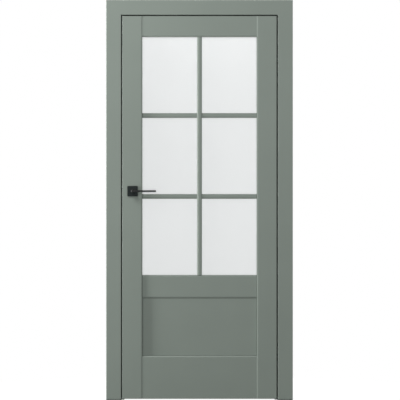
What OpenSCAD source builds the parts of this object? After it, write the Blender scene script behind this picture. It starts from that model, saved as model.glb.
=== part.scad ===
// Hinged interior door with a glazed upper half, in its frame with flush casings.
// X runs along the opening, Y through it from front to back, Z up from the floor.

/* [Leaf] */
// Width of the door leaf
leaf_w = 800; // [700:10:1000]
// Height of the door leaf
leaf_h = 1985; // [1900:5:2200]
// Thickness of the door leaf
leaf_t = 44; // [44:1:50]
// Width of each stile
stile_w = 103; // [95:1:140]
// Height of the top rail
top_rail_h = 107; // [90:1:150]
// Height of the mid rail
mid_rail_h = 119; // [90:1:150]
// Height of the bottom rail
bottom_rail_h = 223; // [150:1:280]
// Height of the lower panel's field
panel_h = 300; // [200:1:400]
// Thickness of the lower panel's field
panel_t = 22; // [14:1:24]
// Width of the bevel round the glazed field and the panel
bevel_w = 6.5; // [4:0.5:9]
// Depth of that bevel on the rails
bevel_d = 3; // [2:0.5:4]
// How far the end rails lie behind the stiles, and the depth of the stiles' own bevel
end_rail_step = 1.5; // [1:0.25:3]
// How far the mid rail lies behind the stiles
mid_rail_step = 6; // [4:0.5:7]
// Width of the groove that holds the pane, the panel and the rails
groove_t = 8; // [7:0.5:10]
// Depth of that groove
groove_d = 12; // [10:1:16]
// Width of the chamfer along the leaf's outer edges
leaf_arris = 1.2; // [0.5:0.1:2]

/* [Glazing] */
// Thickness of the frosted pane
glass_t = 4; // [3:0.5:5]
// How far the pane reaches into the groove
glass_in = 9; // [7:0.5:9]
// Width of a glazing bar
bar_w = 24.5; // [18:0.5:32]
// Height of the upright glazing bar above the pane
upright_bar_h = 14; // [12:0.5:15]
// Height of a cross bar above the pane
cross_bar_h = 11; // [7:0.5:11]
// Width of the bevel on a glazing bar
bar_bevel_w = 6; // [3:0.5:8]
// Depth of the bevel on a glazing bar
bar_bevel_d = 3; // [2:0.5:3]

/* [Frame] */
// Gap between the leaf and the frame
gap = 5; // [4:0.5:6]
// Gap between the leaf and the floor
floor_gap = 8; // [5:1:15]
// Thickness of the jambs and head outside the leaf
jamb_t = 38; // [36:1:50]
// Depth of the jambs and head through the wall
jamb_d = 80; // [80:1:110]
// How far the stop reaches over the leaf's back
stop_overlap = 9; // [8:0.5:12]
// Gap between the leaf's back and the stop
seal_gap = 4; // [3.5:0.5:5]
// Width of a casing board
casing_w = 77.5; // [60:0.5:100]
// How far a casing board is set back from the jamb's face
casing_reveal = 1.5; // [0:0.5:3]
// Thickness of a casing board
casing_t = 8; // [6:0.5:8]
// Radius of a casing board's edges
casing_r = 2.5; // [1:0.5:3]

/* [Handle] */
// Distance of the handle's axis from the leaf's edge
backset = 53; // [50:1:60]
// Height of the handle's axis above the leaf's lower edge
handle_h = 1077; // [950:1:1150]
// Side of the square rose
rose_w = 52; // [48:1:58]
// Thickness of the rose
rose_t = 10; // [8:0.5:12]
// Length of the lever from its axis to its tip
lever_l = 122; // [100:1:140]
// Height of the lever's grip
lever_h = 8.5; // [7:0.5:11]
// Depth of the lever's grip
lever_d = 12; // [9:0.5:14]
// How far the lever stands out from the leaf
lever_out = 56; // [50:1:65]
// Radius of the lever's round neck and of its ball elbow
neck_r = 9; // [8:0.25:11]
// Side of the square spindle
spindle_w = 8; // [7:1:8]

/* [Latch] */
// How far the latch bolt stands out of the leaf's edge
bolt_out = 11; // [10:0.5:12]
// Height of the latch bolt's head
bolt_h = 18; // [14:1:20]
// Thickness of the latch bolt's head
bolt_t = 12; // [10:0.5:12]
// Height of the bolt's middle above the handle's axis
bolt_rise = 22; // [22:0.5:24]
// Width of the faceplate
plate_w = 20; // [18:1:24]
// Height of the faceplate
plate_h = 165; // [150:5:200]
// Thickness of the faceplate
plate_t = 3; // [2:0.5:3]

/* [Hinges] */
// Distance of each hinge's middle from the leaf's nearer end
hinge_inset = 220; // [150:5:300]
// Height of a hinge case's pocket
hinge_pocket_h = 56; // [44:1:70]
// Height of a hinge's face plate
hinge_plate_h = 130; // [120:1:160]
// Radius of the hinge pins
pin_r = 2.5; // [2:0.1:2.5]

/* [Hidden] */

$fn = 48;

// Finishes
sage = "#88918A";
frost = "#E9EBEC";
black = "#2A2C2C";
steel = "#B9BCBE";
rubber = "#4A4D4B";
timber = "#C8A878";

// Clearances: flat fits within one body, running fits, and room round a let-in piece
fit = 0.1;
run_fit = 0.05;
let_in = 0.2;

// How far a cut runs past the face it opens, and a piece into its neighbour's solid
past = 1;

// Places of the leaf and the frame
half_leaf = leaf_w / 2;
front_y = -leaf_t / 2;
back_y = leaf_t / 2;
leaf_z0 = floor_gap;
leaf_z1 = leaf_z0 + leaf_h;
inner_x = half_leaf - stile_w;
jamb_x = half_leaf + gap;
head_z = leaf_z1 + gap;
jamb_y0 = front_y + casing_t;
jamb_y1 = jamb_y0 + jamb_d;
stop_y = back_y + seal_gap;
reach = 200;

// Heights of the rails and of the glazed field with its rows of panes
pane_rows = 3;
panel_z0 = leaf_z0 + bottom_rail_h;
panel_z1 = panel_z0 + panel_h;
glazed_z0 = panel_z1 + mid_rail_h;
glazed_z1 = leaf_z1 - top_rail_h;
pane_h = (glazed_z1 - glazed_z0 - (pane_rows - 1) * bar_w) / pane_rows;
end_rail_t = leaf_t - 2 * end_rail_step;
mid_rail_t = leaf_t - 2 * mid_rail_step;

// Tongues of the casings and grooves of the seals
tongue_t = 4;
tongue_d = 8;
tongue_wall = 6;
tongue_a = jamb_t - tongue_wall - tongue_t;
seal_t = 2.8;
seal_d = 5.5;
seal_edge = 3;
seal_neck = 1.6;
seal_room = 0.3;
seal_a = seal_edge - stop_overlap - gap + seal_t / 2;

// Dowels: distances from a rail's edges are worked out from its height
dowel_r = 5;
dowel_l = 90;
dowel_edge = 32;
tenon_room = 0.5;
tenon_l = groove_d - tenon_room;

// How far the gasket's lips lie behind the groove's edge
gasket_in = 1;

// Frame screws and wall anchors
frame_screw_r = 2.5;
frame_screw_l = 90;
frame_screw_in = 14;
frame_screw_sunk = 1;
frame_screw_rise = jamb_t / 3;
anchor_r = 4;
anchor_inset = 250;
anchor_z = [leaf_z0 + anchor_inset, leaf_z1 - anchor_inset];
anchor_y = (stop_y + jamb_y1) / 2;

// Places of the handle and the latch
handle_x = backset - half_leaf;
handle_z = leaf_z0 + handle_h;
case_t = 15;
case_wall = 1.5;
case_back = 25;
case_low = -28;
case_room = 7;
case_high = bolt_rise + bolt_h / 2 + case_room;
case_front = plate_t - backset;
follower_r = 10;
follower_arm_r = 20;
follower_arm_w = 6;
follower_room = 0.5;
journal_r = 7.5;
bolt_room = 0.3;
bolt_in = 12;
bolt_back = case_front + bolt_in;
bolt_nose = 2.5;
bolt_heel = 1;
tail_low = 22.5;
tail_h = 6.5;
tail_t = 4;
finger_room = 1;
finger_t = 5;
finger_x = follower_arm_w / 2 + finger_room;
finger_low = 12;
spring_stop_x = -14;
spring_stop_t = 2;
spring_stop_low = 4;
spring_room = 0.05;
spring_wire_r = 0.6;
spring_r = 5;
spring_turns = 6;
spring_sides = 6;
spring_steps = 14 * spring_turns;
plate_rise = 10;
plate_screw_edge = 12;
plate_screw_z = plate_h / 2 - plate_screw_edge;
rose_bolt_x = 19;
rose_bolt_r = 2;
rose_bolt_in = 6;
rose_bolt_l = leaf_t + 2 * rose_bolt_in;
rose_bolt_room = 1;
rose_corner = 2;
rose_soft = 1;
grub_out = 6;
grub_y = back_y + rose_t + grub_out;
grub_r = 2;
grub_sunk = 0.5;
lever_draw = 44;
lever_draw_past = 6;
lever_edge_r = 2;
lever_root_in = 0.6;
neck_short = 1;
elbow_y = back_y + lever_out - neck_r;
spindle_in = 34;
spindle_l = leaf_t + 2 * spindle_in;
spindle_room = 1;
spindle_bore_r = 11;

// Strike plate, let into the lock jamb
strike_t = 2;
strike_w = 28;
strike_h = 90;
strike_y = 3;
strike_hole_y0 = -7;
strike_hole_y1 = 8;
strike_hole_room = 1.5;
strike_hole_h = bolt_h + 2 * strike_hole_room;
strike_pocket = 14;
strike_screw_edge = 14;
strike_screw_z = strike_h / 2 - strike_screw_edge;

// Hinges in plan: distances behind the jamb's or stile's face, and behind the leaf's front
hinge_z = [leaf_z1 - hinge_inset, leaf_z0 + hinge_inset];
pivot_in = 4.5;
pivot_v = 15.5;
centre_v = 33;
tail_in = 20;
tail_v = 33.5;
pivot_eye_r = 3.8;
centre_eye_r = 5;
arm_tail_r = 3;
arm_slim = 1.8;
arm_full = 3.4;
arm_half = 2.6;
arm_split = 0.5;
centre_room = 1;
pocket_v0 = 10.8;
pocket_v1 = 38.3;
pocket_in = 22.5;
case_skin = 1.4;
pin_seat = 4;
hinge_plate_t = 3;
hinge_screw_out = 3;
hinge_screw_z = (hinge_pocket_h + hinge_plate_h) / 4 + hinge_screw_out;
arm_h = hinge_pocket_h / 2 - 2 * arm_split;

// Countersunk wood screws
screw_r = 2;
screw_head_r = 4;
screw_l = 28;

// Mirrors what is drawn for the hinge side, +X, to the lock side
module on_side(side) {
  if (side < 0) mirror([1, 0, 0]) children();
  else children();
}

// Room of one upright of the frame, cut to the corner's mitre
module side_zone() {
  rotate([90, 0, 0]) linear_extrude(height = 2 * reach, center = true) polygon([
    [jamb_x - reach, -reach], [jamb_x + reach, -reach],
    [jamb_x + reach, head_z + reach], [jamb_x - reach, head_z - reach]
  ]);
}

// Room of the frame's head, cut to both mitres
module head_zone() {
  rotate([90, 0, 0]) linear_extrude(height = 2 * reach, center = true) polygon([
    [reach - jamb_x, head_z - reach], [jamb_x - reach, head_z - reach],
    [jamb_x + reach, head_z + reach], [-jamb_x - reach, head_z + reach]
  ]);
}

// Runs a section up the hinge side: first axis outwards from the jamb's face, second axis Y
module side_run() {
  intersection() {
    translate([jamb_x, 0, 0]) linear_extrude(height = head_z + reach) children();
    side_zone();
  }
}

// Runs the same section along the head
module head_run() {
  intersection() {
    translate([0, 0, head_z]) rotate([0, -90, 0])
      linear_extrude(height = 2 * (jamb_x + reach), center = true) children();
    head_zone();
  }
}

// Section of the jambs and head: a rebate, a stop, a seal groove and two casing grooves
module jamb_section() {
  difference() {
    union() {
      translate([0, jamb_y0]) square([jamb_t, jamb_d]);
      translate([-gap - stop_overlap, stop_y]) square([jamb_t + gap + stop_overlap, jamb_y1 - stop_y]);
    }
    translate([seal_a - seal_t / 2 - fit, stop_y - fit]) square([seal_t + 2 * fit, seal_d + 2 * fit]);
    translate([tongue_a - fit, jamb_y0 - fit]) square([tongue_t + 2 * fit, tongue_d + 2 * fit]);
    translate([tongue_a - fit, jamb_y1 - tongue_d - fit]) square([tongue_t + 2 * fit, tongue_d + 2 * fit]);
  }
}

// Section of a seal: a stem in its groove and a round bulb against the leaf
module seal_section() {
  bulb_r = (seal_gap - seal_room) / 2;
  translate([seal_a - seal_t / 2, stop_y]) square([seal_t, seal_d]);
  translate([seal_a - seal_neck / 2, stop_y - bulb_r]) square([seal_neck, bulb_r]);
  translate([seal_a, stop_y - bulb_r]) circle(bulb_r);
}

// Section of a casing board from its inner edge, face towards -Y: rounded edges and a tongue behind
module casing_section() {
  translate([casing_r, 0]) square([casing_w - 2 * casing_r, casing_t]);
  translate([0, casing_r]) square([casing_w, casing_t - casing_r]);
  for (a = [casing_r, casing_w - casing_r]) translate([a, casing_r]) circle(casing_r);
  translate([tongue_a - casing_reveal, casing_t - fit]) square([tongue_t, tongue_d + fit]);
}

module front_casing_section() {
  translate([casing_reveal, front_y]) casing_section();
}

module back_casing_section() {
  translate([casing_reveal, jamb_y1 + casing_t]) mirror([0, 1]) casing_section();
}

// Countersunk screw along -Z with its head's top at the origin
module wood_screw(grow = 0) {
  cone_h = screw_head_r - screw_r;
  translate([0, 0, -cone_h]) cylinder(r1 = screw_r + grow, r2 = screw_head_r + grow, h = cone_h + grow);
  translate([0, 0, -screw_l - grow]) cylinder(r = screw_r + grow, h = screw_l + grow);
}

// Corner screws of the frame, hinge side
module corner_screws(grow = 0) {
  for (y = [jamb_y0 + frame_screw_in, anchor_y])
    translate([jamb_x + jamb_t - frame_screw_sunk, y, head_z + frame_screw_rise]) rotate([0, -90, 0])
      cylinder(r = frame_screw_r + grow, h = frame_screw_l + grow);
}

// Holes through a jamb for the wall anchors
module anchor_holes() {
  for (z = anchor_z) translate([jamb_x - gap - stop_overlap - past, anchor_y, z]) rotate([0, 90, 0])
    cylinder(r = anchor_r, h = jamb_t + gap + stop_overlap + 2 * past);
}

module lock_jamb() {
  color(sage) difference() {
    on_side(-1) side_run() jamb_section();
    on_side(-1) corner_screws(fit);
    on_side(-1) anchor_holes();
    strike_cut();
  }
}

module hinge_jamb() {
  color(sage) difference() {
    side_run() jamb_section();
    corner_screws(fit);
    anchor_holes();
    for (z = hinge_z) hinge_frame_place(z) hinge_cut();
  }
}

module head_jamb() {
  color(sage) difference() {
    head_run() jamb_section();
    for (side = [-1, 1]) on_side(side) corner_screws(fit);
  }
}

module frame_screws() {
  color(steel) for (side = [-1, 1]) on_side(side) corner_screws();
}

module lock_seal() {
  color(rubber) on_side(-1) side_run() seal_section();
}

module hinge_seal() {
  color(rubber) side_run() seal_section();
}

module head_seal() {
  color(rubber) head_run() seal_section();
}

module front_lock_casing() {
  color(sage) on_side(-1) side_run() front_casing_section();
}

module front_hinge_casing() {
  color(sage) side_run() front_casing_section();
}

module front_head_casing() {
  color(sage) head_run() front_casing_section();
}

module back_lock_casing() {
  color(sage) on_side(-1) side_run() back_casing_section();
}

module back_hinge_casing() {
  color(sage) side_run() back_casing_section();
}

module back_head_casing() {
  color(sage) head_run() back_casing_section();
}

// Puts a piece at the strike: X from the jamb's face, Z from the bolt's middle
module strike_place() {
  translate([-jamb_x, 0, handle_z + bolt_rise]) children();
}

module strike_screw_set(grow = 0) {
  for (z = [-strike_screw_z, strike_screw_z]) translate([0, strike_y, z]) rotate([0, 90, 0]) wood_screw(grow);
}

module strike_body(grow = 0) {
  translate([-strike_t - grow, strike_y - strike_w / 2 - grow, -strike_h / 2 - grow])
    cube([strike_t + 2 * grow, strike_w + 2 * grow, strike_h + 2 * grow]);
}

module strike_hole(depth) {
  translate([-depth, strike_hole_y0, -strike_hole_h / 2])
    cube([depth + past, strike_hole_y1 - strike_hole_y0, strike_hole_h]);
}

module strike_cut() {
  strike_place() {
    strike_body(fit);
    strike_hole(strike_pocket);
    strike_screw_set(fit);
  }
}

module strike_plate() {
  color(black) strike_place() difference() {
    strike_body();
    strike_hole(strike_t + past);
    strike_screw_set(fit);
  }
}

module strike_screws() {
  color(black) strike_place() strike_screw_set();
}

// Section of the hinge stile in plan, bevelled and grooved along its inner edge
module stile_section() {
  difference() {
    polygon([
      [inner_x, front_y + end_rail_step], [inner_x + bevel_w, front_y],
      [half_leaf - leaf_arris, front_y], [half_leaf, front_y + leaf_arris],
      [half_leaf, back_y - leaf_arris], [half_leaf - leaf_arris, back_y],
      [inner_x + bevel_w, back_y], [inner_x, back_y - end_rail_step]
    ]);
    translate([inner_x - past, -groove_t / 2]) square([groove_d + past, groove_t]);
  }
}

module stile_blank() {
  difference() {
    translate([0, 0, leaf_z0]) linear_extrude(height = leaf_h) stile_section();
    rail_dowel_set(1, fit);
  }
}

// Section of a rail in Y and Z, with a bevel and a groove along each edge that meets glass or panel
module rail_section(z0, z1, t, low, high) {
  difference() {
    polygon([
      [low * bevel_d - t / 2, z0], [-t / 2, z0 + low * bevel_w],
      [-t / 2, z1 - high * bevel_w], [high * bevel_d - t / 2, z1],
      [t / 2 - high * bevel_d, z1], [t / 2, z1 - high * bevel_w],
      [t / 2, z0 + low * bevel_w], [t / 2 - low * bevel_d, z0]
    ]);
    if (low) translate([-groove_t / 2, z0 - past]) square([groove_t, groove_d + past]);
    if (high) translate([-groove_t / 2, z1 - groove_d]) square([groove_t, groove_d + past]);
  }
}

// A rail with a stub tenon at each end, bored for its dowels
module rail(z0, z1, t, low, high) {
  tenon_z0 = z0 + low * groove_d;
  tenon_z1 = z1 - high * groove_d;
  difference() {
    union() {
      rotate([90, 0, 90]) linear_extrude(height = 2 * inner_x, center = true)
        rail_section(z0, z1, t, low, high);
      translate([-inner_x - tenon_l, fit - groove_t / 2, tenon_z0])
        cube([2 * (inner_x + tenon_l), groove_t - 2 * fit, tenon_z1 - tenon_z0]);
    }
    for (side = [-1, 1]) rail_dowel_set(side, fit);
  }
}

// Heights of the dowels: two in the top and mid rails, three in the bottom rail
function dowel_heights() = [
  leaf_z0 + dowel_edge, leaf_z0 + bottom_rail_h / 2, panel_z0 - dowel_edge,
  panel_z1 + dowel_edge, glazed_z0 - dowel_edge,
  glazed_z1 + dowel_edge, leaf_z1 - dowel_edge
];

module rail_dowel_set(side, grow = 0) {
  for (z = dowel_heights()) translate([side * inner_x - dowel_l / 2 - grow, 0, z]) rotate([0, 90, 0])
    cylinder(r = dowel_r + grow, h = dowel_l + 2 * grow);
}

module lock_stile() {
  color(sage) difference() {
    on_side(-1) stile_blank();
    latch_cut();
  }
}

module hinge_stile() {
  color(sage) difference() {
    stile_blank();
    for (z = hinge_z) hinge_leaf_place(z) hinge_cut();
  }
}

module top_rail() {
  color(sage) rail(glazed_z1, leaf_z1, end_rail_t, 1, 0);
}

module mid_rail() {
  color(sage) rail(panel_z1, glazed_z0, mid_rail_t, 1, 1);
}

module bottom_rail() {
  color(sage) rail(leaf_z0, panel_z0, end_rail_t, 0, 1);
}

module rail_dowels() {
  color(timber) for (side = [-1, 1]) rail_dowel_set(side);
}

// Slab centred in the leaf, reaching beyond the opening's edge by a given amount
module slab(z0, z1, t, beyond) {
  translate([-inner_x - beyond, -t / 2, z0 - beyond])
    cube([2 * (inner_x + beyond), t, z1 - z0 + 2 * beyond]);
}

module lower_panel() {
  color(sage) union() {
    slab(panel_z0, panel_z1, panel_t, -fit);
    slab(panel_z0, panel_z1, groove_t - 2 * fit, glass_in);
  }
}

module pane() {
  color(frost) slab(glazed_z0, glazed_z1, glass_t, glass_in);
}

// Channel of rubber between the pane's edge and the groove
module glazing_gasket() {
  color(rubber) difference() {
    slab(glazed_z0, glazed_z1, groove_t - 2 * fit, groove_d - 2 * fit);
    slab(glazed_z0, glazed_z1, groove_t, gasket_in);
    slab(glazed_z0, glazed_z1, glass_t, glass_in);
  }
}

// Section of a glazing bar standing towards -Y on the pane's front face
module bar_section(h) {
  polygon([
    [-bar_w / 2, 0], [bar_w / 2, 0], [bar_w / 2, bar_bevel_d - h],
    [bar_w / 2 - bar_bevel_w, -h], [bar_bevel_w - bar_w / 2, -h], [-bar_w / 2, bar_bevel_d - h]
  ]);
}

// Turns a front glazing bar to the back of the pane
module on_face(face) {
  if (face > 0) mirror([0, 1, 0]) children();
  else children();
}

module upright_bar(face) {
  color(sage) on_face(face) translate([0, -glass_t / 2, glazed_z0])
    linear_extrude(height = glazed_z1 - glazed_z0) bar_section(upright_bar_h);
}

// Cross bars 1 and 2 are the upper pair, 3 and 4 the lower pair, left before right
module cross_bar(face, index) {
  row = index < 3 ? 2 : 1;
  side = index % 2 == 1 ? -1 : 1;
  z = glazed_z0 + row * (pane_h + bar_w) - bar_w / 2;
  length = inner_x - bar_w / 2;
  color(sage) on_face(face) on_side(side) translate([bar_w / 2, -glass_t / 2, z]) rotate([90, 0, 90])
    linear_extrude(height = length) rotate(-90) bar_section(cross_bar_h);
}

// Puts a piece at the handle's axis
module handle_place() {
  translate([handle_x, 0, handle_z]) children();
}

module cross_y(r, l) {
  rotate([90, 0, 0]) cylinder(r = r, h = l, center = true);
}

module case_body(grow = 0) {
  translate([case_front - grow, -case_t / 2 - grow, case_low - grow])
    cube([case_back - case_front + 2 * grow, case_t + 2 * grow, case_high - case_low + 2 * grow]);
}

module faceplate_body(grow = 0) {
  straight = plate_h - plate_w;
  translate([-backset - grow, 0, plate_rise]) rotate([0, 90, 0]) union() {
    translate([-straight / 2, -plate_w / 2 - grow, 0])
      cube([straight, plate_w + 2 * grow, plate_t + 2 * grow]);
    for (a = [-straight / 2, straight / 2]) translate([a, 0, 0])
      cylinder(r = plate_w / 2 + grow, h = plate_t + 2 * grow);
  }
}

module faceplate_screw_set(grow = 0) {
  for (z = [-plate_screw_z, plate_screw_z]) translate([-backset, 0, plate_rise + z])
    rotate([0, -90, 0]) wood_screw(grow);
}

module rose_bolt_set(r) {
  for (x = [-rose_bolt_x, rose_bolt_x]) translate([x, 0, 0]) cross_y(r, rose_bolt_l);
}

// What is cut out of the lock stile for the latch and the handle
module latch_cut() {
  handle_place() {
    case_body(let_in);
    faceplate_body(fit);
    faceplate_screw_set(fit);
    cross_y(spindle_bore_r, leaf_t + 2 * past);
    rose_bolt_set(rose_bolt_r + rose_bolt_room);
  }
}

// Path of the bolt's head through the case's front and the faceplate
module bolt_window() {
  translate([-backset - past, -bolt_t / 2 - bolt_room, bolt_rise - bolt_h / 2 - bolt_room])
    cube([plate_t + case_wall + 2 * past, bolt_t + 2 * bolt_room, bolt_h + 2 * bolt_room]);
}

module latch_case() {
  color(steel) handle_place() difference() {
    union() {
      difference() {
        case_body();
        case_body(-case_wall);
      }
      translate([spring_stop_x, -case_t / 2, tail_low - spring_stop_low])
        cube([spring_stop_t, case_t, case_high - tail_low + spring_stop_low]);
    }
    bolt_window();
    translate([spring_stop_x - past, -tail_t / 2 - bolt_room, tail_low - bolt_room])
      cube([spring_stop_t + 2 * past, tail_t + 2 * bolt_room, tail_h + 2 * bolt_room]);
    cross_y(journal_r + run_fit, case_t + 2 * past);
    rose_bolt_set(rose_bolt_r + rose_bolt_room);
  }
}

module latch_faceplate() {
  color(black) handle_place() difference() {
    faceplate_body();
    bolt_window();
    faceplate_screw_set(fit);
  }
}

module faceplate_screws() {
  color(black) handle_place() faceplate_screw_set();
}

// Bolt: a head with its closing side sloped, a tail, and a finger that the follower pulls
module latch_bolt() {
  tip_x = -backset - bolt_out;
  color(black) handle_place() union() {
    translate([0, 0, bolt_rise - bolt_h / 2]) linear_extrude(height = bolt_h) polygon([
      [tip_x, -bolt_t / 2], [bolt_back, -bolt_t / 2], [bolt_back, bolt_t / 2],
      [tip_x + bolt_out - bolt_heel, bolt_t / 2], [tip_x, bolt_nose - bolt_t / 2]
    ]);
    translate([bolt_back - past, -tail_t / 2, tail_low])
      cube([finger_x + finger_t - bolt_back + past, tail_t, tail_h]);
    translate([finger_x, -tail_t / 2, finger_low]) cube([finger_t, tail_t, tail_low + tail_h - finger_low]);
  }
}

// Ring of wire round a point on the spring's helix
function wire_ring(a, length, sides) = [
  for (s = [0:sides - 1]) let (
    w = 360 * s / sides,
    r = spring_r + spring_wire_r * cos(w)
  ) [length * a / (360 * spring_turns) + spring_wire_r * sin(w), r * cos(a), r * sin(a)]
];

// Coil spring round the tail, between the bolt's head and the case's stop
module latch_spring() {
  sides = spring_sides;
  steps = spring_steps;
  free = spring_stop_x - bolt_back;
  length = free - 2 * (spring_wire_r + spring_room);
  points = [for (i = [0:steps]) each wire_ring(360 * spring_turns * i / steps, length, sides)];
  walls = [for (i = [0:steps - 1], s = [0:sides - 1]) [
    i * sides + s, (i + 1) * sides + s, (i + 1) * sides + (s + 1) % sides, i * sides + (s + 1) % sides
  ]];
  start = [for (s = [0:sides - 1]) s];
  end = [for (s = [0:sides - 1]) steps * sides + sides - 1 - s];
  color(steel) handle_place() translate([bolt_back + (free - length) / 2, 0, tail_low + tail_h / 2])
    polyhedron(points = points, faces = concat(walls, [start], [end]));
}

// Follower: a hub on the spindle with an arm that draws the bolt back
module latch_follower() {
  inside = case_t - 2 * case_wall;
  color(black) handle_place() difference() {
    union() {
      cross_y(journal_r, case_t);
      cross_y(follower_r, inside - 2 * follower_room);
      translate([-follower_arm_w / 2, -tail_t, 0]) cube([follower_arm_w, 2 * tail_t, follower_arm_r]);
    }
    cube([spindle_w + 2 * fit, case_t + 2 * past, spindle_w + 2 * fit], center = true);
  }
}

// Square rose with softened corners and face edges, bored for the lever's neck
module rose(face) {
  face_w = rose_w - 2 * rose_soft;
  color(black) on_face(face) handle_place() translate([0, front_y, 0]) difference() {
    union() {
      rotate([90, 0, 0]) linear_extrude(height = rose_t - rose_soft)
        soft_rectangle(rose_w, rose_w, rose_corner);
      rotate([90, 0, 0]) linear_extrude(height = rose_t)
        soft_rectangle(face_w, face_w, rose_corner);
    }
    cross_y(neck_r + run_fit, 2 * (rose_t + past));
    translate([0, -front_y, 0]) rose_bolt_set(rose_bolt_r + fit);
  }
}

module front_rose() {
  rose(-1);
}

module back_rose() {
  rose(1);
}

module rose_bolts() {
  color(steel) handle_place() rose_bolt_set(rose_bolt_r);
}

// Neck out of the rose, closed by the ball of the elbow
module lever_neck() {
  rotate([90, 0, 0]) rotate_extrude() intersection() {
    union() {
      square([neck_r, elbow_y]);
      translate([0, elbow_y]) circle(neck_r);
    }
    translate([0, back_y + neck_short]) square([neck_r, lever_out]);
  }
}

// Root of the grip, drawn in from the ball to the bar
module lever_root() {
  root = neck_r - lever_root_in;
  slope = (root - lever_h / 2) / lever_draw;
  length = lever_draw + lever_draw_past;
  rotate([0, 90, 0]) cylinder(r1 = root, r2 = root - slope * length, h = length);
}

// Rectangle with rounded corners round the origin
module soft_rectangle(w, h, r) {
  square([w - 2 * r, h], center = true);
  square([w, h - 2 * r], center = true);
  for (x = [-1, 1], y = [-1, 1]) translate([x * (w / 2 - r), y * (h / 2 - r)]) circle(r);
}

// Slim bar of the grip, its edges and its tip's corners rounded
module lever_bar() {
  intersection() {
    rotate([90, 0, 90]) linear_extrude(height = lever_l) soft_rectangle(lever_d, lever_h, lever_edge_r);
    rotate([90, 0, 0]) linear_extrude(height = lever_d + 2 * past, center = true)
      soft_rectangle(2 * lever_l, lever_h, lever_edge_r);
  }
}

module lever(face) {
  socket_w = spindle_w + 2 * fit;
  color(black) on_face(face) handle_place() difference() {
    union() {
      lever_neck();
      translate([0, -elbow_y, 0]) lever_root();
      translate([0, -elbow_y, 0]) lever_bar();
    }
    translate([0, -spindle_l / 4, 0])
      cube([socket_w, spindle_l / 2 + 2 * spindle_room, socket_w], center = true);
    translate([0, -grub_y, -neck_r - past]) cylinder(r = grub_r + fit, h = neck_r);
  }
}

module front_lever() {
  lever(-1);
}

module back_lever() {
  lever(1);
}

module spindle() {
  color(steel) handle_place() cube([spindle_w, spindle_l, spindle_w], center = true);
}

module grub_screws() {
  color(steel) handle_place() for (y = [-grub_y, grub_y])
    translate([0, y, grub_sunk - neck_r]) cylinder(r = grub_r, h = neck_r - grub_sunk - spindle_w / 2);
}

// Puts hinge pieces at the jamb: X into the jamb, Y back from the leaf's front, Z from the hinge's middle
module hinge_frame_place(z) {
  translate([jamb_x, front_y, z]) children();
}

// The leaf's half is the jamb's half turned over about the middle of the gap
module hinge_leaf_place(z) {
  translate([half_leaf, front_y, z]) mirror([1, 0, 0]) mirror([0, 0, 1]) children();
}

module hinge_case_body(grow = 0) {
  v0 = pocket_v0 - case_skin - grow;
  bare_width = pocket_v1 - pocket_v0 + 2 * case_skin;
  width = bare_width + 2 * grow;
  height = hinge_pocket_h + 2 * pin_seat;
  straight = hinge_plate_h - bare_width;
  translate([-grow, v0, -height / 2 - grow])
    cube([pocket_in + case_skin + 2 * grow, width, height + 2 * grow]);
  translate([-grow, v0, -straight / 2]) cube([hinge_plate_t + 2 * grow, width, straight]);
  for (z = [-straight / 2, straight / 2]) translate([-grow, v0 + width / 2, z]) rotate([0, 90, 0])
    cylinder(r = width / 2, h = hinge_plate_t + 2 * grow);
}

module hinge_screw_set(grow = 0) {
  for (z = [-hinge_screw_z, hinge_screw_z]) translate([0, (pocket_v0 + pocket_v1) / 2, z])
    rotate([0, -90, 0]) wood_screw(grow);
}

module hinge_cut() {
  hinge_case_body(fit);
  hinge_screw_set(fit);
}

module hinge_pivot_pin(grow = 0) {
  translate([pivot_in, pivot_v, -hinge_pocket_h / 2 - pin_seat])
    cylinder(r = pin_r + grow, h = hinge_pocket_h / 2 + pin_seat - arm_split);
}

module hinge_case() {
  difference() {
    hinge_case_body();
    translate([-past, pocket_v0, -hinge_pocket_h / 2])
      cube([pocket_in + past, pocket_v1 - pocket_v0, hinge_pocket_h]);
    hinge_pivot_pin();
    hinge_screw_set(fit);
  }
}

// Straight stretch of an arm in plan, wider on one side than the other
module arm_bar(from, to, left, right) {
  run = to - from;
  translate(from) rotate(atan2(run[1], run[0])) translate([0, -right]) square([norm(run), left + right]);
}

// Cranked arm on the lower half of the hinge, from its pin past the middle of the gap
module hinge_arm(centre_hole_r) {
  pivot = [pivot_in, pivot_v];
  centre = [-gap / 2, centre_v];
  tail = [-gap / 2 - tail_in, tail_v];
  translate([0, 0, -arm_h - arm_split]) linear_extrude(height = arm_h) difference() {
    union() {
      translate(pivot) circle(pivot_eye_r);
      translate(centre) circle(centre_eye_r);
      translate(tail) circle(arm_tail_r);
      arm_bar(pivot, centre, arm_slim, arm_full);
      arm_bar(centre, tail, arm_half, arm_half);
    }
    translate(pivot) circle(pin_r + run_fit);
    translate(centre) circle(centre_hole_r);
  }
}

module hinge_frame_case(index) {
  color(black) hinge_frame_place(hinge_z[index]) hinge_case();
}

module hinge_leaf_case(index) {
  color(black) hinge_leaf_place(hinge_z[index]) hinge_case();
}

module hinge_frame_arm(index) {
  color(black) hinge_frame_place(hinge_z[index]) hinge_arm(pin_r);
}

module hinge_leaf_arm(index) {
  color(black) hinge_leaf_place(hinge_z[index]) hinge_arm(pin_r + centre_room);
}

module hinge_frame_pins() {
  color(steel) for (z = hinge_z) hinge_frame_place(z) hinge_pivot_pin();
}

module hinge_leaf_pins() {
  color(steel) for (z = hinge_z) hinge_leaf_place(z) hinge_pivot_pin();
}

module hinge_centre_pins() {
  color(steel) for (z = hinge_z) hinge_frame_place(z) translate([-gap / 2, centre_v, 0])
    cylinder(r = pin_r, h = 2 * arm_h, center = true);
}

module hinge_frame_screws() {
  color(steel) for (z = hinge_z) hinge_frame_place(z) hinge_screw_set();
}

module hinge_leaf_screws() {
  color(steel) for (z = hinge_z) hinge_leaf_place(z) hinge_screw_set();
}

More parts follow.
